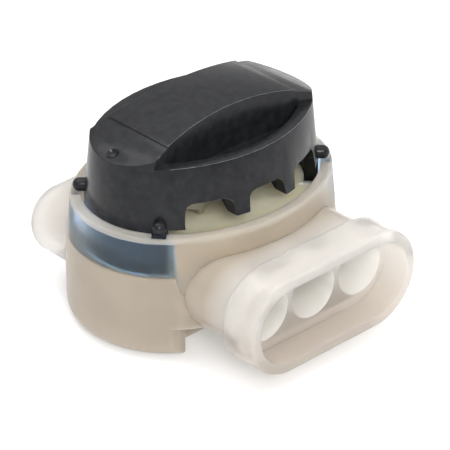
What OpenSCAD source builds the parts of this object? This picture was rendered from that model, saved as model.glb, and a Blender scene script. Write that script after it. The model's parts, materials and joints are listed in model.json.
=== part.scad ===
// Three-wire insulation displacement connector, shown open: a translucent oval cup with a
// three-hole wire shroud in front and a closed pocket behind, filled with sealing gel, and a
// black press cap that carries the folded contact down over the wires.
// Millimetres. +Z is up, the wires enter from -Y, and the origin is the middle of the base.

/* [Cup] */
// Half length of the cup's inside, along X
in_a = 13.25; // [13:0.05:14.5]
// Half width of the cup's inside, along Y
in_b = 10.15; // [10:0.05:11]
// Height of the rim above the base
cup_h = 13.5; // [13:0.1:15]
// Wall thickness at the rim
cup_wall = 1.15; // [1:0.05:1.4]
// How far the cup's outside swells below the rim
cup_swell = 0.55; // [0.1:0.05:0.7]
// Height at which the swelling starts to close in towards the rim
belly_z = 7; // [5:0.1:10]
// Thickness of the floor
floor_t = 1.5; // [1.2:0.1:1.8]
// Rounding of the cup's bottom edge
foot_r = 2.0; // [1:0.1:3]
// Distance from the cup's middle to the back of the recess in its foot, under the wire ports
recess_y = 5.6; // [5.4:0.1:7]
// Half width of the recess at its back
recess_x = 7.7; // [7:0.1:7.8]
// How much the recess widens to each side, for each millimetre forwards
recess_flare = 0.8; // [0.5:0.05:0.85]
// Height of the recess beside the neck's underside
recess_h = 3.6; // [3:0.1:3.8]
// Rounding of the foot's two corners in front, seen from above
recess_r = 2; // [1:0.1:2.4]
// Rounding of the corner between wall and floor, inside
foot_in_r = 0.5; // [0.2:0.1:0.6]
// Rounding of the rim's edges
rim_r = 0.3; // [0.1:0.05:0.4]

/* [Wire ports] */
// Distance between neighbouring wire holes
pitch = 6.4; // [6.2:0.1:6.8]
// Bore of a wire hole
bore_d = 5.8; // [5.2:0.1:5.9]
// Height of the wire axes above the base
wire_z = 7; // [6.8:0.1:7.6]
// How much wider the wires' beds and seats inside the cup are than their bores, in radius
bed_gap = 0.2; // [0.2:0.01:0.25]
// Clear depth of the wire ends' seats behind the cup's inner wall
seat_depth = 2.3; // [2:0.1:2.6]

/* [Shroud and neck] */
// Distance from the cup's middle to the shroud's front face
shroud_y = 19.0; // [18:0.1:21]
// Depth of the open shroud in front of the wire holes
shroud_depth = 3.1; // [2:0.1:3.6]
// Outside length of the flared shroud from its back edge to its face
shroud_len = 4.6; // [4:0.1:5.4]
// Outside width of the shroud
shroud_w = 22.4; // [22:0.1:24]
// Outside height of the shroud
shroud_h = 10.5; // [9.6:0.1:11.5]
// Wall of the shroud
shroud_wall = 1.15; // [0.9:0.05:1.4]
// Rounding of the shroud's back edge
shroud_back_r = 0.9; // [0.4:0.1:1.0]
// Outside width of the neck between cup and shroud
neck_w = 20.6; // [20.2:0.1:21.4]
// Outside height of the neck
neck_h = 8.2; // [8:0.1:9]

/* [Rear pocket] */
// Distance from the cup's middle to the pocket's closed end
pocket_y = 13.5; // [13.2:0.1:15]
// Outside width of the pocket
pocket_w = 24.6; // [23.6:0.1:25]
// Outside height of the pocket
pocket_h = 7.4; // [7.2:0.1:8.2]
// Rounding of the pocket's closed end
pocket_r = 2; // [1:0.1:2.6]

/* [Press cap] */
// Gap between the cap's skirt and the cup's inner wall
cap_gap = 0.3; // [0.2:0.05:0.4]
// Wall of the cap's skirt
cap_wall = 1.3; // [1:0.05:1.5]
// How far the end skirts reach down into the cup
skirt_drop = 4.7; // [4.3:0.1:4.9]
// Height of the scoops' lip above the rim
lip_rise = 6.45; // [6.1:0.05:7]
// Height of the crown above the rim
crown_rise = 9.3; // [8.8:0.1:10]
// Radius of the crown's arch
crown_r = 32; // [28:0.5:40]
// Depth of the steps near the crown's two ends
step_t = 0.2; // [0.1:0.05:0.4]
// Distance of the steps from the cap's middle
step_x = 8.6; // [8:0.1:10]
// Diameter of the moulding gate's dimple on the crown's left end
gate_d = 1.3; // [1:0.1:1.6]
// Distance from the crown's end to the middle of the dimple
gate_inset = 0.8; // [0.7:0.1:1.2]
// Depth of the dimple
gate_t = 0.35; // [0.2:0.05:0.5]
// How far the cap's ends lean in, from the rim to the lip
lean_ends = 0.2; // [0:0.05:0.4]
// How far the cap's long sides lean in, from the rim to the lip
lean_sides = 1.45; // [1:0.05:1.6]
// Half width of the grip band at its waist
band_w = 3.8; // [3.6:0.1:4.2]
// Radius of the band's waisted sides
band_r = 66; // [50:1:90]
// Width of the lip beside the scoops, at the middle of the long sides
lip_w = 1.0; // [0.8:0.1:1.3]
// Width of the lip at the cap's ends
lip_end_w = 1.55; // [1.4:0.05:1.8]
// Depth of the scoops below the lip
scoop_depth = 2.0; // [1.8:0.1:2.2]
// Thickness of the scoops' floor
scoop_floor = 1.0; // [0.8:0.1:1.2]
// Rounding of the corner between the scoops' wall and floor
scoop_r = 0.8; // [0.3:0.1:1.2]

/* [Skirt notches and teeth] */
// Width of the notch over each wire
notch_w = 4.9; // [4.4:0.1:5]
// Height of the notches above the rim
notch_rise = 2.75; // [2.5:0.05:2.9]
// How much a notch's side leans in from the teeth's tips to its top
notch_lean = 0.25; // [0:0.05:0.35]
// Rounding of the notches' upper corners
notch_r = 0.9; // [0.4:0.1:1.1]
// Half distance between the end skirts' edges inside the cup
skirt_x = 10.2; // [9.6:0.1:10.4]
// Height above the rim where the end skirts narrow to that
shoulder_rise = 0.2; // [0.1:0.1:0.4]
// Height of the teeth's tips above the rim
tooth_rise = 0.7; // [0.5:0.1:1.2]
// Flat length of a tooth's tip, from the outer wall inwards
tooth_flat = 1.5; // [1.3:0.1:2]
// Whole depth of a tooth, from the outer wall inwards
tooth_depth = 3.0; // [2.4:0.1:3.2]

/* [Bumps that rest on the rim] */
// Diameter of a bump
bump_d = 1.4; // [1.2:0.1:1.5]
// How far a bump stands out of the cap's wall
bump_reach = 1.15; // [0.9:0.05:1.2]
// Direction of a bump from its round end's centre, off the X axis
bump_angle = 42; // [36:1:46]
// Clearance around a bump in its groove
bump_gap = 0.05; // [0.05:0.05:0.1]
// Height of a bump's underside above the rim
bump_lift = 0.05; // [0:0.05:0.2]

/* [Contact] */
// Thickness of the contact's sheet
sheet_t = 0.8; // [0.6:0.1:0.9]
// Half distance between the middles of the two plates
plate_y = 3.0; // [2.8:0.1:3.2]
// Width of the plates
plate_w = 18.2; // [18:0.1:18.6]
// Height of the plates' tips above the base, cap up
tip_z = 11.7; // [11.6:0.1:11.9]
// Width of the slots that grip the conductors
slot_w = 1.2; // [0.9:0.1:1.4]
// Width of the slots' flared mouths
mouth_w = 5.7; // [5:0.1:5.9]
// Height of the mouths' straight sides, which leave narrow tips between the wires
mouth_side = 0.5; // [0.2:0.1:0.6]
// Height of the slots' flared mouths
mouth_h = 1.5; // [1.2:0.1:1.6]
// Distance from the cap's ceiling down to the slots' round roots
slot_root = 1.35; // [1.3:0.05:1.8]
// Inner radius of the sheet's two bends
bend_r = 0.4; // [0.2:0.1:0.6]
// Diameter of the cap's staked pegs
peg_d = 1.7; // [1.4:0.1:1.9]
// Diameter of the pegs' staked heads
stake_d = 2.8; // [2.4:0.1:3]
// Thickness of the pegs' staked heads
stake_t = 0.45; // [0.3:0.05:0.6]
// Clearance around a peg in the contact's hole
peg_gap = 0.1; // [0.05:0.05:0.2]

/* [Stroke and gel] */
// Height of the lip above the rim when the cap is fully pressed in
lip_left = 0; // [0:0.1:1]
// Height of the gel's surface above the base
gel_z = 11.3; // [11:0.1:11.4]
// Clearance of the gel from the cup, the deck and the cap
gel_gap = 0.15; // [0.15:0.01:0.2]

/* [Hidden] */
$fn = 96;
// Overshoot of a cutting shape past the face that it opens
cut = 1;
// Travel of the cap from open to crimped, until its lip is down at the rim
stroke = lip_rise - lip_left;
// Reach of the wedges that part the arcs
far = 10;
// Fineness of the ovals that the cap's leaning form is stretched between
form_fn = 64;
// Points along a notch's round corner
notch_steps = 6;
// Points along a round corner of the foot, and outside its recess
foot_steps = 8;
// Offsets of the ovals from the cup's inside
out_d = cup_wall;
belly_d = cup_wall + cup_swell;
cap_d = -cap_gap;
cap_in_d = -cap_gap - cap_wall;
bed_r = bore_d / 2 + bed_gap;
// Half sizes of the cap's outside
cap_a = in_a + cap_d;
cap_b = in_b + cap_d;
// Heights on the cap, open
skirt_z = cup_h - skirt_drop;
notch_z = cup_h + notch_rise;
tooth_z = cup_h + tooth_rise;
shoulder_z = cup_h + shoulder_rise;
lip_z = cup_h + lip_rise;
crown_z = cup_h + crown_rise;
scoop_z = lip_z - scoop_depth;
ceiling_z = scoop_z - scoop_floor;
bump_z = cup_h + bump_lift + bump_d / 2;
// Centre of the cap's round ends, which the bumps point away from
bump_x = 3 * (in_a - in_b) / 2;
// Wire columns, and the gaps between them where teeth and pegs stand
wires = [-pitch, 0, pitch];
between = [-pitch / 2, pitch / 2];
// The wire deck inside the cup, up to just below the wires' axes, cut clear of the closing skirts
deck_drop = 0.8;
deck_z = wire_z - deck_drop;
deck_skirt_gap = 0.3;
deck_x = skirt_x - deck_skirt_gap;
deck_ends_x = 10.8;
// Slots in the deck for the contact's plates, at the bottom of the stroke
deck_slot_gap = 0.25;
deck_slot_below = 0.6;
deck_slot_z = tip_z - stroke - deck_slot_below;
// Width of a tooth is what two notches leave
tooth_w = pitch - notch_w;
// Cores under the band, between the peg ribs
core_w = 2.5;
core_h = 2.6;
core_rib = 1.4;
// How far the pegs are rooted in the cap
peg_root = 0.5;

// A solid with an oval plan of half length a and half width b, made of four arcs that meet on
// lines of slope 4 in 3. Children give its half outline with x = 0 on the arc's axis, where $r
// is the arc's radius, so that $r + d is everywhere the oval at an even distance d.
module oval_turned(a = in_a, b = in_b) {
  k = (a - b) / 2;
  for (side = [-1, 1]) {
    intersection() {
      translate([side * 3 * k, 0, 0]) rotate_extrude() {
        $r = a - 3 * k;
        children();
      }
      wedge([[side * 3 * k, 0], [side * 3 * (k + far), -4 * far], [side * 3 * (k + far), 4 * far]]);
    }
    intersection() {
      translate([0, -side * 4 * k, 0]) rotate_extrude() {
        $r = b + 4 * k;
        children();
      }
      wedge([[-3 * k, 0], [3 * k, 0], [3 * far, side * 4 * (far - k)], [-3 * far, side * 4 * (far - k)]]);
    }
  }
}

module wedge(points) {
  translate([0, 0, -far]) linear_extrude(6 * far) polygon(points);
}

// A straight oval column of height h, offset by d from the cup's inside
module oval(d, h) {
  oval_turned() square([$r + d, h]);
}

// Where the long side of the oval at offset d stands at distance x from the middle
function side_wall_y(x, d) =
  let (side_y = 2 * (in_a - in_b)) sqrt(pow(in_b + side_y + d, 2) - x * x) - side_y;

// What a rounding of radius r takes off an outer corner; dx and dz point into the material
module corner(x, z, r, dx, dz) {
  translate([x, z]) difference() {
    translate([dx > 0 ? -cut : -r, dz > 0 ? -cut : -r]) square(r + cut);
    translate([dx * r, dz * r]) circle(r);
  }
}

// A flat-sided round form about the -Y axis: children give the half outline, x outwards and
// y along -Y, and span is the distance between the centres of the two round ends
module stadium_turned(span) {
  rotate([90, 0, 0]) {
    for (side = [-1, 1]) {
      translate([side * span / 2, 0, 0]) rotate([0, 0, -90 * side])
        rotate_extrude(angle = 180) children();
    }
    translate([-span / 2, 0, 0]) rotate([90, 0, 90]) linear_extrude(span) {
      children();
      mirror([1, 0]) children();
    }
  }
}

module cup_outline() {
  difference() {
    polygon([[0, 0], [$r + belly_d, 0], [$r + belly_d, belly_z], [$r + out_d, cup_h - 2 * rim_r],
             [$r + out_d, cup_h], [0, cup_h]]);
    corner($r + belly_d, 0, foot_r, -1, 1);
    corner($r + out_d, cup_h, rim_r, -1, -1);
  }
}

module cup_inside_outline() {
  difference() {
    translate([0, floor_t]) square([$r, cup_h - floor_t + cut]);
    corner($r, floor_t, foot_in_r, -1, 1);
  }
}

module shroud_outline() {
  y0 = shroud_y - shroud_len;
  difference() {
    translate([0, y0]) square([shroud_h / 2, shroud_len]);
    corner(shroud_h / 2, y0, shroud_back_r, -1, 1);
    corner(shroud_h / 2, shroud_y, rim_r, -1, -1);
  }
}

module pocket_outline() {
  difference() {
    square([pocket_h / 2, pocket_y]);
    corner(pocket_h / 2, pocket_y, pocket_r, -1, -1);
  }
}

// The deck that carries the wires, with its walls joined to the cup's front and back
module wire_deck() {
  z0 = floor_t / 2;
  intersection() {
    oval(cup_wall / 2, deck_z);
    union() {
      translate([-deck_x, -in_b - cut, z0]) cube([2 * deck_x, 2 * (in_b + cut), deck_z - z0]);
      intersection() {
        translate([-deck_ends_x, -in_b, z0]) cube([2 * deck_ends_x, 2 * in_b, deck_z - z0]);
        oval(cap_in_d - deck_skirt_gap, deck_z);
      }
    }
  }
}

module neck() {
  translate([0, 0, wire_z]) stadium_turned(neck_w - neck_h) square([neck_h / 2, shroud_y - shroud_depth]);
}

// One half of the recess seen from above: its side leans outwards, and a round corner of the foot
// takes it on to the cup's outer wall
function recess_half() =
  let (lean = atan(recess_flare), along = [sin(lean), -cos(lean)], aside = [cos(lean), sin(lean)],
       wall_axis = [0, 2 * (in_a - in_b)], wall_r = in_b + belly_d + wall_axis[1],
       from_axis = [recess_x, -recess_y] + recess_r * aside - wall_axis,
       reach = sqrt(pow(from_axis * along, 2) - from_axis * from_axis + pow(wall_r - recess_r, 2)),
       to_centre = from_axis + (reach - from_axis * along) * along,
       from = 180 + lean, to = 360 + atan2(to_centre[1], to_centre[0]))
    concat([[0, -recess_y], [recess_x, -recess_y]],
           [for (i = [0:foot_steps]) let (angle = from + (to - from) * i / foot_steps)
             wall_axis + to_centre + recess_r * [cos(angle), sin(angle)]],
           [for (i = [0:foot_steps]) let (angle = to + (270 - to) * i / foot_steps)
             wall_axis + (wall_r + cut) * [cos(angle), sin(angle)]]);

// The recess in the foot under the wire ports, which the neck's underside runs on through
module foot_recess() {
  difference() {
    translate([0, 0, -cut]) linear_extrude(recess_h + cut) {
      polygon(recess_half());
      mirror([1, 0]) polygon(recess_half());
    }
    neck();
  }
}

// The wires' ways: bores through the neck, half-round beds over the deck and blind seats behind
module wire_ways() {
  for (x = wires) {
    difference() {
      translate([x, 0, wire_z]) rotate([90, 0, 0]) cylinder(d = bore_d, h = shroud_y);
      oval(0, cup_h);
    }
    intersection() {
      translate([x, in_b + seat_depth, wire_z]) rotate([90, 0, 0])
        cylinder(r = bed_r, h = 2 * in_b + seat_depth);
      union() {
        oval(0, cup_h);
        translate([-in_a, 0, 0]) cube([2 * in_a, in_b + seat_depth + cut, cup_h]);
      }
    }
  }
}

// A groove below each bump, where the real wall gives way as the cap goes down
module bump_groove() {
  r = bump_d / 2 + bump_gap;
  reach = bump_reach + bump_gap;
  translate([0, 0, bump_z - stroke]) {
    rotate([0, 90, 0]) cylinder(r = r, h = reach);
    translate([0, -r, 0]) cube([reach, 2 * r, cup_h]);
  }
}

module at_bumps() {
  for (side = [0, 180], s = [-1, 1]) {
    rotate([0, 0, side]) translate([bump_x, 0, 0]) rotate([0, 0, s * bump_angle])
      translate([cap_a - bump_x, 0, 0]) children();
  }
}

module housing_body() {
  color([0.93, 0.91, 0.86, 0.6]) difference() {
    union() {
      difference() {
        union() {
          oval_turned() cup_outline();
          neck();
          translate([0, 0, wire_z]) {
            stadium_turned(shroud_w - shroud_h) shroud_outline();
            rotate([0, 0, 180]) stadium_turned(pocket_w - pocket_h) pocket_outline();
          }
        }
        oval_turned() cup_inside_outline();
      }
      wire_deck();
    }
    // Open mouth of the shroud
    translate([0, -shroud_y + shroud_depth, wire_z])
      stadium_turned(shroud_w - shroud_h) square([shroud_h / 2 - shroud_wall, shroud_depth + cut]);
    wire_ways();
    foot_recess();
    // Slots in the deck for the contact's plates
    for (sy = [-1, 1]) {
      translate([-plate_w / 2 - deck_slot_gap, sy * plate_y - sheet_t / 2 - deck_slot_gap, deck_slot_z])
        cube([plate_w + 2 * deck_slot_gap, sheet_t + 2 * deck_slot_gap, cup_h]);
    }
    at_bumps() bump_groove();
  }
}

// The grip band seen from above, waisted by two large arcs
module band_plan(h) {
  difference() {
    translate([-cap_a - cut, -cap_b / 2, 0]) cube([2 * (cap_a + cut), cap_b, h]);
    for (sy = [-1, 1]) {
      translate([0, sy * (band_w + band_r), -cut]) cylinder(r = band_r, h = h + 2 * cut, $fn = 360);
    }
  }
}

// The cap's outside, or its inside at a wall's thickness: an upright oval in the cup that leans
// in above the rim, its long sides most
module cap_form(wall, z0) {
  rise = (crown_z - cup_h) / (lip_z - cup_h);
  a = cap_a - wall;
  b = cap_b - wall;
  hull() {
    translate([0, 0, z0]) oval_turned(a, b, $fn = form_fn) square([$r, cup_h - z0]);
    translate([0, 0, crown_z]) oval_turned(a - lean_ends * rise, b - lean_sides * rise, $fn = form_fn)
      square([$r, cut]);
  }
}

// A cylinder across the cap, with its top at height z
module arch(z) {
  translate([0, cap_b + cut, z - crown_r]) rotate([90, 0, 0])
    cylinder(r = crown_r, h = 2 * (cap_b + cut), $fn = 360);
}

// What is cut off the crown's two ends, down to a slightly lower arch
module end_steps() {
  difference() {
    for (side = [0, 180]) {
      rotate([0, 0, side]) translate([step_x, -cap_b, ceiling_z]) cube([cap_a, 2 * cap_b, crown_z]);
    }
    arch(crown_z - step_t);
  }
}

// A shallow round dimple where the mould was filled
module gate_dimple() {
  x = cap_a - lean_ends - gate_inset;
  r = (gate_d * gate_d / 4 + gate_t * gate_t) / (2 * gate_t);
  z = crown_z - step_t - crown_r + sqrt(crown_r * crown_r - x * x);
  translate([-x, 0, z + r - gate_t]) sphere(r);
}

// The two scoops beside the band, and all that is cleared above the lip round them
module scoops() {
  a = cap_a - lean_ends - lip_end_w;
  b = cap_b - lean_sides - lip_w;
  difference() {
    union() {
      oval_turned(a, b) difference() {
        translate([0, scoop_z]) square([$r, crown_z - scoop_z]);
        corner($r, scoop_z, scoop_r, -1, 1);
      }
      translate([0, 0, lip_z]) oval(cap_d + cut, crown_z - lip_z + cut);
    }
    translate([0, 0, scoop_z - cut]) band_plan(crown_z - scoop_z + 3 * cut);
  }
}

// Half outline of a notch of width w and height h, whose side leans in below a round corner
function notch_half(w, h) =
  let (t = atan(notch_lean / h), x = w / 2 - notch_lean * (h - notch_r) / h - notch_r / cos(t))
    concat([[0, h], [0, -cut], [w / 2, -cut], [w / 2, 0]],
           [for (i = [0:notch_steps]) let (angle = t + (90 - t) * i / notch_steps)
             [x + notch_r * cos(angle), h - notch_r + notch_r * sin(angle)]]);

// What is cut out of the skirt's long sides: all that lies below the teeth, wider inside the
// cup, and a notch over each wire
module skirt_opening() {
  half = pitch + notch_w / 2;
  translate([0, cap_b + cut, 0]) rotate([90, 0, 0]) linear_extrude(2 * (cap_b + cut)) {
    translate([-skirt_x, skirt_z - cut]) square([2 * skirt_x, shoulder_z - skirt_z + cut]);
    translate([-half, shoulder_z - cut]) square([2 * half, tooth_z - shoulder_z + cut]);
    for (x = wires, m = [0, 1]) {
      translate([x, tooth_z]) mirror([m, 0]) polygon(notch_half(notch_w, notch_z - tooth_z));
    }
  }
}

// Ribs between the wire columns; their lower ends are the teeth seen between the notches
module ribs() {
  slope = tooth_depth - tooth_flat;
  for (x = between, sy = [0, 1]) {
    wall_y = side_wall_y(tooth_w / 2 + abs(x), cap_d);
    translate([x - tooth_w / 2, 0, 0]) mirror([0, sy]) rotate([90, 0, 90])
      linear_extrude(tooth_w) polygon([
        [cap_b, tooth_z], [wall_y - tooth_flat, tooth_z],
        [wall_y - tooth_depth, tooth_z + slope], [wall_y - tooth_depth, ceiling_z + cut],
        [cap_b, ceiling_z + cut]]);
  }
}

// A short round-ended peg
module bump() {
  straight = bump_reach - bump_d / 2;
  translate([0, 0, bump_z]) {
    translate([-cap_wall / 2, 0, 0]) rotate([0, 90, 0]) cylinder(d = bump_d, h = straight + cap_wall / 2);
    translate([straight, 0, 0]) sphere(d = bump_d);
  }
}

module press_cap() {
  color([0.07, 0.075, 0.085]) {
    difference() {
      intersection() {
        cap_form(0, skirt_z);
        arch(crown_z);
      }
      difference() {
        intersection() {
          cap_form(cap_wall, skirt_z - cut);
          translate([-cap_a, -cap_b, skirt_z - cut]) cube([2 * cap_a, 2 * cap_b, ceiling_z - skirt_z + cut]);
        }
        ribs();
      }
      skirt_opening();
      scoops();
      end_steps();
      gate_dimple();
      // Cores under the band keep its walls even
      for (x = wires) {
        translate([x - pitch / 2 + core_rib, -core_w, ceiling_z - cut])
          cube([pitch - 2 * core_rib, 2 * core_w, core_h + cut]);
      }
    }
    at_bumps() bump();
    // Staked pegs that hold the contact
    for (x = between) {
      translate([x, 0, ceiling_z - sheet_t - stake_t]) cylinder(d = peg_d, h = sheet_t + stake_t + peg_root);
      translate([x, 0, ceiling_z - sheet_t - stake_t]) cylinder(d = stake_d, h = stake_t);
    }
  }
}

// The folded sheet seen from its end: a web under the cap's ceiling and two plates
module sheet_outline() {
  y1 = plate_y + sheet_t / 2;
  difference() {
    translate([-y1, tip_z]) square([2 * y1, ceiling_z - tip_z]);
    for (s = [-1, 1]) {
      corner(s * y1, ceiling_z, bend_r + sheet_t, -s, -1);
    }
    difference() {
      translate([-y1 + sheet_t, tip_z - cut]) square([2 * (y1 - sheet_t), ceiling_z - sheet_t - tip_z + cut]);
      for (s = [-1, 1]) {
        corner(s * (y1 - sheet_t), ceiling_z - sheet_t, bend_r, -s, -1);
      }
    }
  }
}

module conductor_slot() {
  root = slot_w / 2;
  slot_h = ceiling_z - slot_root - tip_z;
  rotate([90, 0, 0]) translate([0, 0, -plate_y - sheet_t]) linear_extrude(2 * (plate_y + sheet_t)) {
    translate([-root, -cut]) square([slot_w, slot_h - root + cut]);
    translate([0, slot_h - root]) circle(r = root);
    polygon([[-mouth_w / 2, -cut], [-mouth_w / 2, mouth_side], [-root, mouth_h],
             [root, mouth_h], [mouth_w / 2, mouth_side], [mouth_w / 2, -cut]]);
  }
}

module contact_element() {
  color([0.72, 0.70, 0.66]) difference() {
    translate([-plate_w / 2, 0, 0]) rotate([90, 0, 90]) linear_extrude(plate_w) sheet_outline();
    for (x = wires) {
      translate([x, 0, tip_z]) conductor_slot();
    }
    for (x = between) {
      translate([x, 0, ceiling_z - sheet_t - cut]) cylinder(d = peg_d + 2 * peg_gap, h = sheet_t + 2 * cut);
    }
  }
}

module sealant_gel() {
  g = gel_gap;
  half = skirt_x - g;
  color([0.93, 0.86, 0.62, 0.7]) difference() {
    translate([0, 0, wire_z + g]) oval(-g, gel_z - wire_z - g);
    // Channels that the wires lie in
    for (x = wires) {
      translate([x, in_b, wire_z]) rotate([90, 0, 0]) cylinder(r = bed_r, h = 2 * in_b);
    }
    // Room for the end skirts, which dip into the gel
    difference() {
      translate([0, 0, skirt_z - g]) oval(cut, cup_h);
      translate([0, 0, skirt_z - g - cut]) oval(cap_in_d - g, cup_h);
      translate([-half, -in_b - cut, 0]) cube([2 * half, 2 * (in_b + cut), 2 * cup_h]);
    }
  }
}

housing_body();
press_cap();
contact_element();
sealant_gel();
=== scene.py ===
"""Looks of a three-wire insulation displacement connector, in metres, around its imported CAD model."""
import json
import math

import bmesh
import bpy
from mathutils import Matrix, Vector, noise


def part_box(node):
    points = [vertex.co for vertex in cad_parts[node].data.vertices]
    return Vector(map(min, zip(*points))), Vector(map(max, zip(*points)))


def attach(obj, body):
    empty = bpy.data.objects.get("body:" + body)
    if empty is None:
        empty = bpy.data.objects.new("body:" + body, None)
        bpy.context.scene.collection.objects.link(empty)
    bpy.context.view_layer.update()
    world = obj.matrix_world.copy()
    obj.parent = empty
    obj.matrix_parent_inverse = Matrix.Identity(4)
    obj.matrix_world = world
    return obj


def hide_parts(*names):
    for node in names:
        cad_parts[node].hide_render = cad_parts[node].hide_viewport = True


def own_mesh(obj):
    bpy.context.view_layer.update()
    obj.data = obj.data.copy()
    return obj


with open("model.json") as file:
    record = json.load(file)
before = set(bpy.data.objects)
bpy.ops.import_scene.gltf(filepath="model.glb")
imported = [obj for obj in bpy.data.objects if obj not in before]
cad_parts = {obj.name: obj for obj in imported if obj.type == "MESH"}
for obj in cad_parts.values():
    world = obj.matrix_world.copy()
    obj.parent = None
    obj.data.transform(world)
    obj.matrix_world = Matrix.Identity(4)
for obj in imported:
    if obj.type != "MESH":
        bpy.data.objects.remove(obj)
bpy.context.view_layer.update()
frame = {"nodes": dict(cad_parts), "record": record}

MM = 0.001

# Points closer than MERGE are one point, and a face within NEAR of a surface belongs to it. Edges
# that bend by less than FLAT are dissolved, and those that bend by more than SHARP are sharp.
MERGE = 0.004 * MM
NEAR = 0.05 * MM
FLAT = math.radians(0.5)
SHARP = math.radians(30)
ROUND_PROFILE = 0.5

# Heights of the rim, of the cap's lower end and of the gel's surface
RIM_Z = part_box("housing_body")[1].z
SKIRT_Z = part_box("press_cap")[0].z
GEL_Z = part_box("sealant_gel")[1].z

# The cup's inside is an oval of four arcs, and its outer wall lies at most BELLY outside it
INSIDE_A = 13.25 * MM
INSIDE_B = 10.15 * MM
CUP_FLOOR_Z = 1.5 * MM
BELLY = 1.75 * MM

# The cap's skirts stand beyond the notches, their inner faces SKIRT_IN inside the cup's wall
SKIRT_IN = 1.6 * MM
NOTCHES_HALF = 10.2 * MM

# The cap's upper edges are rounded, and get a painted highlight on the band and the lips by the scoops
CAP_SOFT_Z = RIM_Z + 1.6 * MM
CAP_EDGE_RADIUS = 0.14 * MM
CAP_EDGE_STEPS = 3
CAP_LIP_A = 12.75 * MM
CAP_LIP_B = 8.4 * MM
CAP_LIP_X = 9.8 * MM
CAP_LIP_OUTER = 0.93
CAP_BAND_X = 8.5 * MM
CAP_BAND_Z = 20.35 * MM
# The cap's second material slot, which holds the painted highlight on its edges
HIGHLIGHT_SLOT = 1
CONTACT_EDGE_RADIUS = 0.08 * MM
CONTACT_EDGE_STEPS = 2

# The wires' bores, and the beds beyond them, which are wider and leave channels in the gel
PORT = next(mount for mount in frame["record"]["mounts"] if mount["name"] == "wire_port_right")
WIRE_PITCH = PORT["pos_m"][0]
WIRE_Z = PORT["pos_m"][2]
WIRES = (-WIRE_PITCH, 0, WIRE_PITCH)
BORE_R = PORT["dims"]["r_mm"] * MM
BED_GAP = 0.2 * MM
CHANNEL_R = BORE_R + BED_GAP
CHANNEL_SIDES = 96
CHANNEL_LENGTH = 3 * INSIDE_B

# The gel fills the cup up to small gaps, creeps up at its edge and has an uneven surface
GEL_GAP = 0.04 * MM
SKIRT_GAP = 0.12 * MM
GEL_BOTTOM = WIRE_Z + GEL_GAP
GEL_CREEP = 0.35 * MM
GEL_CREEP_WIDTH = 0.7 * MM
GEL_CREEP_STEEPNESS = 3
GEL_RIPPLE = 0.07 * MM
GEL_RIPPLE_SCALE = 0.35 / MM
GEL_FINE_SCALE = 2.3
GEL_FINE_SHARE = 0.5
GEL_AROUND = 240
GEL_RINGS = 30

# The housing's materials, in the order of its slots
SHELL, OUTER, INNER, BORE = range(4)

# Noise is scaled in waves per metre, and most of it lies between these two values
NOISE_LOW = 0.3
NOISE_HIGH = 0.7

# A Mix node's two colours and its result
MIX_LOW = 6
MIX_HIGH = 7
MIX_RESULT = 2

WHITE = (1.0, 1.0, 1.0, 1)
EVEN = (1.0, 1.0, 1.0)

# Black plastic, from its dark to its light spots, as moulded and as a lighter painted highlight on
# edges
BLACK = (0.010, 0.019)
EDGE_HIGHLIGHT_BLACK = (0.18, 0.32)
DARK_TINT = (1.0, 1.05, 1.2)
LIGHT_TINT = (1.0, 1.03, 1.15)
BLACK_SPOTS = 1100
BLACK_GRAIN = 500
BLACK_ROUGH = (0.18, 0.28)
BLACK_IOR = 1.5
BLACK_SPECULAR = 0.21
BLACK_RELIEF = {"scale": 350, "detail": 8, "roughness": 0.65, "height": 0.06 * MM, "strength": 0.5}

# Milky plastic in general: light partly goes through it and partly spreads in it
MILKY_GRAIN = 400
MILKY_ROUGH = (0.30, 0.38)
MILKY_IOR = 1.15
MILKY_SCATTER = 1.5 * MM
MILKY_RELIEF = {"scale": 240, "detail": 4, "roughness": 0.5, "height": 0.10 * MM, "strength": 0.6}
COAT_ROUGH = 0.16
COAT_IOR = 1.45

# Shroud, neck and pocket: denser at the neck, and low on the shroud darker and warmer, a painted shade
MILKY_COAT = 0.5
MILKY_THROUGH = 0.68
MILKY_COLOUR = (0.85, 0.82, 0.785, 1)
SHROUD_SHADED_COLOUR = (0.71, 0.645, 0.58, 1)
SHROUD_LOW_Z = 2.5 * MM
SHROUD_HIGH_Z = 9.0 * MM
SHROUD_Y = -14.2 * MM
NECK_Y = -11.0 * MM
NECK_THROUGH = 0.3
NECK_COLOUR = (0.50, 0.435, 0.36, 1)
POCKET_Y = 5 * MM
BORE_THROUGH = 0.35
# The bores' light colour is painted light, for light that reaches them from the thin shroud
BORE_LIT_COLOUR = (0.95, 0.92, 0.88, 1)

# The cup's wall, clearer before the gel and the skirts, which tint it, and dense below them
CUP_COAT = 0.12
CUP_CLOUDS = 220
CUP_END_THROUGH = 0.965
CUP_END_COLOUR = (0.64, 0.80, 1.0, 1)
CUP_FRONT_THROUGH = 0.6
CUP_FRONT_COLOUR = (0.66, 0.59, 0.50, 1)
CUP_FRONT_MOTTLE = (0.93, 1.05)
LOW_CUP_THROUGH = 0.25
LOW_CUP_COLOUR = (0.47, 0.41, 0.34, 1)
WET_THROUGH = 0.1
WET_COLOUR = (0.50, 0.43, 0.345, 1)
LOW_CUP_MOTTLE = (0.94, 1.06)

# The clear stretch: its shift on the outer face, its soft edge and where in that edge the tint
# starts, and the dense lip that it leaves along the rim
CUP_SLANT = 0.7 * MM
CUP_BLUR = 0.3 * MM
TINT_START = 0.7
LIP = 0.4 * MM
LIP_BLUR = 0.15 * MM
LIP_THROUGH = 0.6
LIP_COLOUR = (0.70, 0.65, 0.58, 1)

# Tinned sheet of the contact
TIN_SPOTS = 300
TIN_DARK = (0.40, 0.39, 0.37, 1)
TIN_LIGHT = (0.52, 0.50, 0.48, 1)
TIN_GRAIN = 700
TIN_ROUGH = (0.25, 0.42)

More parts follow.
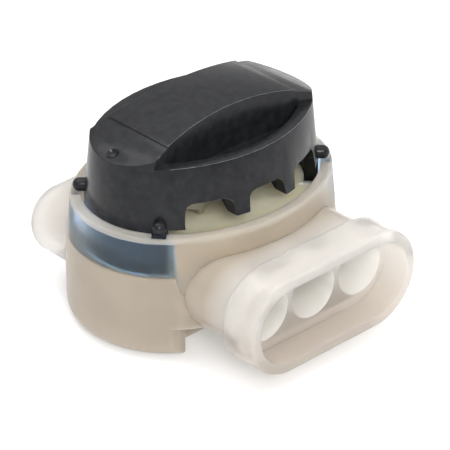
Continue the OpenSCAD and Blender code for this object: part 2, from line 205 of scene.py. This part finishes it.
# Clear gel
GEL_CLOUDS = 120
GEL_DARK = (0.99, 0.86, 0.63, 1)
GEL_LIGHT = (1.0, 0.90, 0.71, 1)
GEL_GRAIN = 300
GEL_ROUGH = (0.12, 0.25)
GEL_IOR = 1.42
GEL_SCATTER = 0.6 * MM
GEL_SCATTER_COLOUR = (1.0, 0.9, 0.6)
GEL_RELIEF = {"scale": 250, "detail": 2, "roughness": 0.5, "height": 0.10 * MM, "strength": 0.4}

# The room's light grows from WORLD_BEND up to straight overhead, and from left to right
WORLD_BEND = 0.45
WORLD_ROUND = 0.55
WORLD_TOP = 1.8
WORLD_LEFT = 0.78
WORLD_RIGHT = 1.1

# Softboxes, each with its place, its width in metres and its power in watts
SOFTBOXES = {
    "top_softbox": ((-0.05, 0.10, 0.30), 0.20, 0.25),
    "right_softbox": ((0.30, -0.05, 0.15), 0.15, 0.15),
    "front_softbox": ((-0.19, -0.265, 0.235), 0.12, 0.82),
}
LIGHT_TARGET = (0, 0, 0.01)

# The studio's floor and its width in metres
FLOOR_SIZE = 4
FLOOR_CLOUDS = 3
FLOOR_DARK = (0.70, 0.70, 0.70, 1)
FLOOR_LIGHT = (0.72, 0.72, 0.72, 1)
FLOOR_ROUGH = 0.6
FLOOR_GLOW = 0.3

# Camera, fitted to the outlines in the photograph
CAMERA_AZIMUTH = math.radians(-42.97)
CAMERA_ELEVATION = math.radians(29.53)
CAMERA_DISTANCE = 288.7 * MM
CAMERA_NEAR = 0.01
CAMERA_FAR = 10
PIXELS_PER_METRE = 10 / MM
RIM_CENTRE_PIXEL = (202.27, 174.19)
IMAGE_SIZE = 450
SENSOR = 36.0


def add_object(name, data):
    """A new object in the scene for a mesh, a light or a camera."""
    thing = bpy.data.objects.new(name, data)
    bpy.context.scene.collection.objects.link(thing)
    return thing


def shade_smooth(mesh):
    """Smooth faces, with the sharp edges between them kept sharp."""
    for face in mesh.polygons:
        face.use_smooth = True
    bm = bmesh.new()
    bm.from_mesh(mesh)
    for edge in bm.edges:
        edge.smooth = not edge.is_manifold or edge.calc_face_angle(0.0) < SHARP
    bm.to_mesh(mesh)
    bm.free()


def softened(node, name, radius, steps, keep_sharp=None, highlit=None):
    """A copy of a CAD node whose sharp edges are rounded, and which stands for that node.
    keep_sharp says of an edge's middle whether the edge stays as it is, and the last argument says
    of a rounding's face whether it takes the second material, a painted highlight."""
    mesh = frame["nodes"][node].data.copy()
    mesh.materials.clear()
    bm = bmesh.new()
    bm.from_mesh(mesh)
    bmesh.ops.remove_doubles(bm, verts=bm.verts, dist=MERGE)
    bmesh.ops.dissolve_limit(bm, angle_limit=FLAT, verts=bm.verts, edges=bm.edges)
    edges = []
    for edge in bm.edges:
        middle = (edge.verts[0].co + edge.verts[1].co) / 2
        kept = keep_sharp and keep_sharp(middle)
        if edge.is_manifold and edge.calc_face_angle(0.0) > SHARP and not kept:
            edges.append(edge)
    bmesh.ops.bevel(bm, geom=edges, offset=radius, offset_type="OFFSET", segments=steps,
                    profile=ROUND_PROFILE, affect="EDGES", clamp_overlap=True,
                    miter_outer="ARC", material=HIGHLIGHT_SLOT)
    for face in bm.faces:
        if not (highlit and highlit(face.calc_center_median())):
            face.material_index = 0
    bmesh.ops.triangulate(bm, faces=bm.faces)
    bm.to_mesh(mesh)
    bm.free()
    shade_smooth(mesh)
    piece = add_object(name, mesh)
    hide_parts(node)
    return piece


class Nodes:
    """Short calls for the node tree of a material or of the world."""

    def __init__(self, owner, shader):
        owner.use_nodes = True
        self.owner = owner
        self.tree = owner.node_tree
        self.shader = self.tree.nodes[shader]

    def add(self, kind, settings=None, **inputs):
        """A new node. In the names of its inputs an underscore stands for a space."""
        node = self.tree.nodes.new(kind)
        for key, value in (settings or {}).items():
            setattr(node, key, value)
        for key, value in inputs.items():
            self.set(node, key.replace("_", " "), value)
        return node

    def set(self, node, socket, value):
        """Give an input a value, or link another node's output to it."""
        target = node.inputs[socket]
        if isinstance(value, bpy.types.NodeSocket):
            self.tree.links.new(value, target)
        else:
            target.default_value = value

    def shade(self, **inputs):
        """Set inputs of the shader, named as in add."""
        for key, value in inputs.items():
            self.set(self.shader, key.replace("_", " "), value)

    def coordinates(self, kind="Object"):
        """Where the shaded point is, by default in metres on its object."""
        return self.add("ShaderNodeTexCoord").outputs[kind]

    def place(self, axis, kind="Object"):
        """The X, Y or Z of the shaded point."""
        return self.add("ShaderNodeSeparateXYZ", Vector=self.coordinates(kind)).outputs[axis]

    def maths(self, operation, first, second=0.0):
        """The number that an operation makes of one or two numbers."""
        node = self.add("ShaderNodeMath", {"operation": operation})
        self.set(node, 0, first)
        self.set(node, 1, second)
        return node.outputs[0]

    def noise(self, scale, detail=3.0, roughness=0.5):
        """Cloudy variation over the object."""
        node = self.add("ShaderNodeTexNoise", Vector=self.coordinates(), Scale=scale,
                        Detail=detail, Roughness=roughness)
        return node.outputs["Fac"]

    def ramp(self, factor, low, high, start=NOISE_LOW, end=NOISE_HIGH):
        """Colour or number that goes from low to high as factor goes from start to end."""
        node = self.add("ShaderNodeMapRange", Value=factor, From_Min=start, From_Max=end)
        if isinstance(low, tuple):
            return self.blend(node.outputs["Result"], low, high)
        self.set(node, "To Min", low)
        self.set(node, "To Max", high)
        return node.outputs["Result"]

    def mask(self, value, start, end):
        """Number that goes from 0 to 1 as value goes from start to end."""
        return self.ramp(value, 0.0, 1.0, start, end)

    def between(self, share, low, high):
        """Number that lies a share of the way from low to high."""
        return self.ramp(share, low, high, 0.0, 1.0)

    def blend(self, share, low, high):
        """Colour that lies a share of the way from low to high."""
        node = self.add("ShaderNodeMix", {"data_type": "RGBA"}, Factor=share)
        self.set(node, MIX_LOW, low)
        self.set(node, MIX_HIGH, high)
        return node.outputs[MIX_RESULT]

    def mottled(self, scale, colour, shares):
        """A colour that varies between two shares of itself."""
        low, high = shares
        return self.ramp(self.noise(scale), tinted(colour, low), tinted(colour, high))

    def relief(self, scale, detail, roughness, height, strength):
        """Fine unevenness of the surface."""
        waves = self.noise(scale, detail, roughness)
        node = self.add("ShaderNodeBump", Height=waves, Distance=height, Strength=strength)
        self.shade(Normal=node.outputs["Normal"])


def new_material(name):
    """A new material's nodes."""
    return Nodes(bpy.data.materials.new(name), "Principled BSDF")


def tinted(colour, share):
    """A colour made lighter or darker."""
    return tuple(share * c for c in colour[:3]) + (1,)


def black_plastic(name, dark, light):
    """Black moulded plastic with fine spots and a satin sheen, between two reflectances."""
    m = new_material(name)
    spots = m.ramp(m.noise(BLACK_SPOTS), tinted(DARK_TINT, dark), tinted(LIGHT_TINT, light))
    m.shade(Base_Color=spots, Roughness=m.ramp(m.noise(BLACK_GRAIN), *BLACK_ROUGH))
    m.shade(IOR=BLACK_IOR, Specular_IOR_Level=BLACK_SPECULAR)
    m.relief(**BLACK_RELIEF)
    return m.owner


def milky_plastic(name, coat):
    """Nodes of translucent polypropylene, without its colour and its clearness."""
    m = new_material(name)
    m.shade(Roughness=m.ramp(m.noise(MILKY_GRAIN), *MILKY_ROUGH), IOR=MILKY_IOR)
    m.shade(Subsurface_Weight=1.0, Subsurface_Scale=MILKY_SCATTER, Subsurface_Radius=EVEN)
    m.shade(Coat_Weight=coat, Coat_Roughness=COAT_ROUGH, Coat_IOR=COAT_IOR)
    m.relief(**MILKY_RELIEF)
    return m


def shell_plastic():
    """The plastic of shroud, neck and pocket: warm and dense at the neck, clearer where it is thin,
    and, as painted shade, darker and warmer low on the shroud. The pocket counts as high all over."""
    m = milky_plastic("milky_plastic", MILKY_COAT)
    shroud = m.ramp(m.place("Y"), 1.0, 0.0, SHROUD_Y, NECK_Y)
    pocket = m.mask(m.place("Y"), 0.0, POCKET_Y)
    thin = m.maths("MAXIMUM", shroud, pocket)
    height = m.maths("ADD", m.place("Z"), m.maths("MULTIPLY", pocket, SHROUD_HIGH_Z))
    # Painted shade: the shroud's colour darkens and warms towards its lower edge
    shaded_milky = m.ramp(height, SHROUD_SHADED_COLOUR, MILKY_COLOUR, SHROUD_LOW_Z, SHROUD_HIGH_Z)
    m.shade(Transmission_Weight=m.between(thin, NECK_THROUGH, MILKY_THROUGH))
    m.shade(Base_Color=m.blend(thin, NECK_COLOUR, shaded_milky))
    return m.owner


def bore_plastic():
    """The plastic in the wires' bores, lighter than the neck as a painted light from the thin shroud.
    """
    m = milky_plastic("bore_plastic", MILKY_COAT)
    m.shade(Transmission_Weight=BORE_THROUGH, Base_Color=BORE_LIT_COLOUR)
    return m.owner


def cup_plastic(name, low_through, low_colour, slant):
    """The cup's plastic: dense and mottled below, a clearer window before the gel in front and
    the black skirts at the ends, which cool it, and a denser lip along the rim. The camera looks
    in at a slant, so the window lies slant higher and farther aside on the outer face."""
    m = milky_plastic(name, CUP_COAT)
    aside = m.maths("ABSOLUTE", m.place("X"))
    end = m.mask(aside, NOTCHES_HALF + slant - CUP_BLUR, NOTCHES_HALF + slant)
    above = m.maths("SUBTRACT", m.place("Z"), m.between(end, WIRE_Z, SKIRT_Z))
    upper = m.mask(above, slant - CUP_BLUR, slant)
    lip = m.mask(m.place("Z"), RIM_Z - LIP - LIP_BLUR, RIM_Z - LIP)
    window = m.maths("SUBTRACT", upper, lip)
    clear = m.between(end, CUP_FRONT_THROUGH, CUP_END_THROUGH)
    wall_through = m.between(window, low_through, clear)
    lip_through = m.between(lip, 0.0, LIP_THROUGH)
    m.shade(Transmission_Weight=m.maths("MAXIMUM", wall_through, lip_through))
    low = m.mottled(CUP_CLOUDS, low_colour, LOW_CUP_MOTTLE)
    front = m.mottled(CUP_CLOUDS, CUP_FRONT_COLOUR, CUP_FRONT_MOTTLE)
    tint = m.mask(upper, TINT_START, 1.0)
    wall = m.blend(tint, low, m.blend(end, front, CUP_END_COLOUR))
    m.shade(Base_Color=m.blend(lip, wall, LIP_COLOUR))
    return m.owner


def tinned_sheet():
    """Tin plating, slightly spotted."""
    m = new_material("tinned_sheet")
    m.shade(Base_Color=m.ramp(m.noise(TIN_SPOTS), TIN_DARK, TIN_LIGHT), Metallic=1.0)
    m.shade(Roughness=m.ramp(m.noise(TIN_GRAIN), *TIN_ROUGH))
    return m.owner


def clear_gel():
    """Yellowish gel, in which light spreads."""
    m = new_material("clear_gel")
    m.shade(Base_Color=m.ramp(m.noise(GEL_CLOUDS), GEL_DARK, GEL_LIGHT))
    m.shade(Roughness=m.ramp(m.noise(GEL_GRAIN), *GEL_ROUGH), IOR=GEL_IOR)
    m.shade(Subsurface_Weight=1.0, Subsurface_Scale=GEL_SCATTER,
            Subsurface_Radius=GEL_SCATTER_COLOUR)
    m.relief(**GEL_RELIEF)
    return m.owner


def paint(piece, material):
    """Give a piece its material."""
    piece.data.materials.append(material)


def press_cap():
    """The cap, with its upper edges rounded and partly given a painted highlight."""
    piece = softened("press_cap", "cap_moulding", CAP_EDGE_RADIUS, CAP_EDGE_STEPS, low_on_cap,
                     on_highlit_edge)
    paint(piece, black_plastic("black_plastic", *BLACK))
    # The second material is a painted highlight on the rounded edges beside the scoops
    piece.data.materials.append(black_plastic("highlight_black_plastic", *EDGE_HIGHLIGHT_BLACK))
    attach(piece, "cap")


def low_on_cap(point):
    """Whether a point of the cap lies below the upper edges, which alone are rounded."""
    return point.z < CAP_SOFT_Z


def on_highlit_edge(point):
    """Whether a point of the cap lies on the band's or the lips' outer edges, which get a painted
    highlight.
    """
    aside = abs(point.x)
    outward = math.hypot(point.x / CAP_LIP_A, point.y / CAP_LIP_B)
    lip = aside < CAP_LIP_X and outward > CAP_LIP_OUTER
    band = aside < CAP_BAND_X and point.z > CAP_BAND_Z
    return lip or band


def housing():
    """The CAD's own solid in four materials: shroud, neck and pocket; the cup's outer wall; the
    cup's inner faces; and the wires' bores."""
    mesh = frame["nodes"]["housing_body"].data
    mesh.materials.clear()
    mesh.materials.append(shell_plastic())
    mesh.materials.append(cup_plastic("cup_plastic", LOW_CUP_THROUGH, LOW_CUP_COLOUR, CUP_SLANT))
    mesh.materials.append(cup_plastic("wetted_plastic", WET_THROUGH, WET_COLOUR, 0.0))
    mesh.materials.append(bore_plastic())
    for face in mesh.polygons:
        face.material_index = housing_slot(face.center)


def housing_slot(point):
    """Which of the housing's materials covers a point of its surface."""
    if in_oval(point, NEAR) and point.z > CUP_FLOOR_Z - NEAR:
        return INNER
    if in_bore(point):
        return BORE
    if in_oval(point, BELLY):
        return OUTER
    return SHELL


def in_bore(point):
    """Whether a point lies in front of the cup's middle on the wall of one of the bores."""
    aside = min(abs(point.x - x) for x in WIRES)
    return point.y < 0 and math.hypot(aside, point.z - WIRE_Z) < BORE_R + NEAR


def in_oval(point, margin):
    """Whether a point lies in the oval column of the cup's inside, or at most margin outside it."""
    edge = oval_radius(math.atan2(point.y, point.x), INSIDE_A + margin, INSIDE_B + margin)
    return math.hypot(point.x, point.y) < edge


def oval_radius(angle, a, b):
    """Distance from the middle of a four-arc oval to its edge, in a direction from the middle.
    The arcs' centres lie on the axes, 3 and 4 units from the middle, so the arcs meet on lines
    that are the long sides of 3-4-5 triangles."""
    unit = (a - b) / 2
    x, y = abs(math.cos(angle)), abs(math.sin(angle))
    reach = arc_reach(x, 3 * unit, a - 3 * unit)
    if y * reach > 4 / 3 * (x * reach - 3 * unit):
        reach = arc_reach(y, -4 * unit, b + 4 * unit)
    return reach


def arc_reach(cosine, centre, radius):
    """Distance from the middle to an arc whose centre lies on an axis, in a direction at an angle
    to that axis whose cosine is given."""
    along = cosine * centre
    return along + math.sqrt(along * along - centre * centre + radius * radius)


def contact():
    """The contact, with its edges rounded."""
    piece = softened("contact_element", "contact_sheet", CONTACT_EDGE_RADIUS, CONTACT_EDGE_STEPS)
    paint(piece, tinned_sheet())
    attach(piece, "cap")


def gel():
    """Gel that fills the cup over the wires' beds, with a channel for each wire."""
    piece = add_object("gel_filling", gel_mesh())
    for x in WIRES:
        cut_channel(piece, x)
    shade_smooth(piece.data)
    paint(piece, clear_gel())
    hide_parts("sealant_gel")
    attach(piece, "housing")
    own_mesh(piece)


def gel_mesh():
    """The closed mesh of the gel, made of columns round its middle."""
    bm = bmesh.new()
    columns = [gel_column(bm, 2 * math.pi * (i + 0.5) / GEL_AROUND) for i in range(GEL_AROUND)]
    top = bm.verts.new((0, 0, GEL_Z + ripple(0, 0)))
    bottom = bm.verts.new((0, 0, GEL_BOTTOM))
    for here, there in zip(columns, columns[1:] + columns[:1]):
        bm.faces.new((top, here[0], there[0]))
        bm.faces.new((bottom, there[-1], here[-1]))
        for low in range(len(here) - 1):
            high = low + 1
            bm.faces.new((here[low], here[high], there[high], there[low]))
    bmesh.ops.remove_doubles(bm, verts=bm.verts, dist=MERGE)
    bmesh.ops.recalc_face_normals(bm, faces=bm.faces)
    mesh = bpy.data.meshes.new("gel_filling")
    bm.to_mesh(mesh)
    bm.free()
    return mesh


def gel_column(bm, angle):
    """The gel's corners in one direction from its middle: out over the surface, closer together
    towards the creeping edge, and down, with a step out to the cup below a skirt."""
    cup = oval_radius(angle, INSIDE_A - GEL_GAP, INSIDE_B - GEL_GAP)
    skirt = oval_radius(angle, INSIDE_A - SKIRT_IN - SKIRT_GAP, INSIDE_B - SKIRT_IN - SKIRT_GAP)
    edge = cup if abs(cup * math.cos(angle)) < NOTCHES_HALF else skirt
    direction = Vector((math.cos(angle), math.sin(angle), 0))
    column = []
    for ring in range(1, GEL_RINGS + 1):
        share = 1 - (1 - ring / GEL_RINGS) ** 2
        point = direction * edge * share
        inward = (1 - share) * edge / GEL_CREEP_WIDTH
        creep = GEL_CREEP * math.exp(-GEL_CREEP_STEEPNESS * inward)
        column.append(bm.verts.new((point.x, point.y, GEL_Z + creep + ripple(point.x, point.y))))
    ledge = SKIRT_Z - SKIRT_GAP
    for reach, height in ((edge, ledge), (cup, ledge), (cup, GEL_BOTTOM)):
        column.append(bm.verts.new(direction * reach + Vector((0, 0, height))))
    return column


def ripple(x, y):
    """How far the uneven surface that the gel sets to lies above its level."""
    place = Vector((x, y, 0)) * GEL_RIPPLE_SCALE
    fine = noise.noise(GEL_FINE_SCALE * place)
    return GEL_RIPPLE * (noise.noise(place) + GEL_FINE_SHARE * fine)


def cut_channel(piece, x):
    """Cut one wire's way out of the gel."""
    bpy.ops.mesh.primitive_cylinder_add(vertices=CHANNEL_SIDES, radius=CHANNEL_R,
                                        depth=CHANNEL_LENGTH, location=(x, 0, WIRE_Z),
                                        rotation=(math.pi / 2, 0, 0))
    tool = bpy.context.object
    boolean = piece.modifiers.new("channel", "BOOLEAN")
    boolean.operation = "DIFFERENCE"
    boolean.solver = "EXACT"
    boolean.object = tool
    graph = bpy.context.evaluated_depsgraph_get()
    mesh = bpy.data.meshes.new_from_object(piece.evaluated_get(graph))
    piece.modifiers.clear()
    piece.data = mesh
    bpy.data.objects.remove(tool)


def camera():
    """The photograph's view. The rim's centre lies beside the picture's middle, so the camera
    aims at the point that lies in the middle."""
    level = math.cos(CAMERA_ELEVATION)
    back = Vector((level * math.sin(CAMERA_AZIMUTH), -level * math.cos(CAMERA_AZIMUTH),
                   math.sin(CAMERA_ELEVATION)))
    right = Vector((math.cos(CAMERA_AZIMUTH), math.sin(CAMERA_AZIMUTH), 0))
    up = back.cross(right)
    rim = Vector((0, 0, RIM_Z))
    place = rim + CAMERA_DISTANCE * back
    aside = (IMAGE_SIZE / 2 - RIM_CENTRE_PIXEL[0]) / PIXELS_PER_METRE
    above = (RIM_CENTRE_PIXEL[1] - IMAGE_SIZE / 2) / PIXELS_PER_METRE
    aim = rim + aside * right + above * up
    back = (place - aim).normalized()
    right = (right - right.dot(back) * back).normalized()
    up = back.cross(right)
    data = bpy.data.cameras.new("camera")
    data.sensor_width = SENSOR
    data.lens = SENSOR * CAMERA_DISTANCE * PIXELS_PER_METRE / IMAGE_SIZE
    data.clip_start = CAMERA_NEAR
    data.clip_end = CAMERA_FAR
    eye = add_object("camera", data)
    eye.matrix_world = Matrix((
        (right.x, up.x, back.x, place.x),
        (right.y, up.y, back.y, place.y),
        (right.z, up.z, back.z, place.z),
        (0, 0, 0, 1),
    ))
    bpy.context.scene.camera = eye


def area_light(name, place, size, power):
    """A square softbox that faces the connector."""
    data = bpy.data.lights.new(name, "AREA")
    data.size = size
    data.energy = power
    lamp = add_object(name, data)
    lamp.location = place
    lamp.rotation_euler = (Vector(LIGHT_TARGET) - lamp.location).to_track_quat("-Z", "Y").to_euler()


def room():
    """A white room, brighter overhead than round about and on the right than on the left."""
    room_light = Nodes(bpy.data.worlds.new("studio"), "Background")
    height = room_light.place("Z", "Generated")
    overhead = room_light.ramp(height, WORLD_ROUND, WORLD_TOP, WORLD_BEND, 1.0)
    side = room_light.place("X", "Generated")
    sideways = room_light.ramp(side, WORLD_LEFT, WORLD_RIGHT, -1.0, 1.0)
    strength = room_light.maths("MULTIPLY", overhead, sideways)
    room_light.shade(Strength=strength, Color=WHITE)
    bpy.context.scene.world = room_light.owner


def pale_floor():
    """The plain floor, which glows a little."""
    bpy.ops.mesh.primitive_plane_add(size=FLOOR_SIZE)
    floor = bpy.context.object
    floor.name = "floor"
    m = new_material("pale_floor")
    m.shade(Base_Color=m.ramp(m.noise(FLOOR_CLOUDS), FLOOR_DARK, FLOOR_LIGHT))
    m.shade(Roughness=FLOOR_ROUGH, Emission_Color=WHITE, Emission_Strength=FLOOR_GLOW)
    floor.data.materials.append(m.owner)


def studio():
    """The room, its softboxes and its floor."""
    room()
    for name, (place, size, power) in SOFTBOXES.items():
        area_light(name, place, size, power)
    pale_floor()


camera()
studio()
press_cap()
housing()
contact()
gel()
bpy.context.scene.view_settings.view_transform = "Standard"
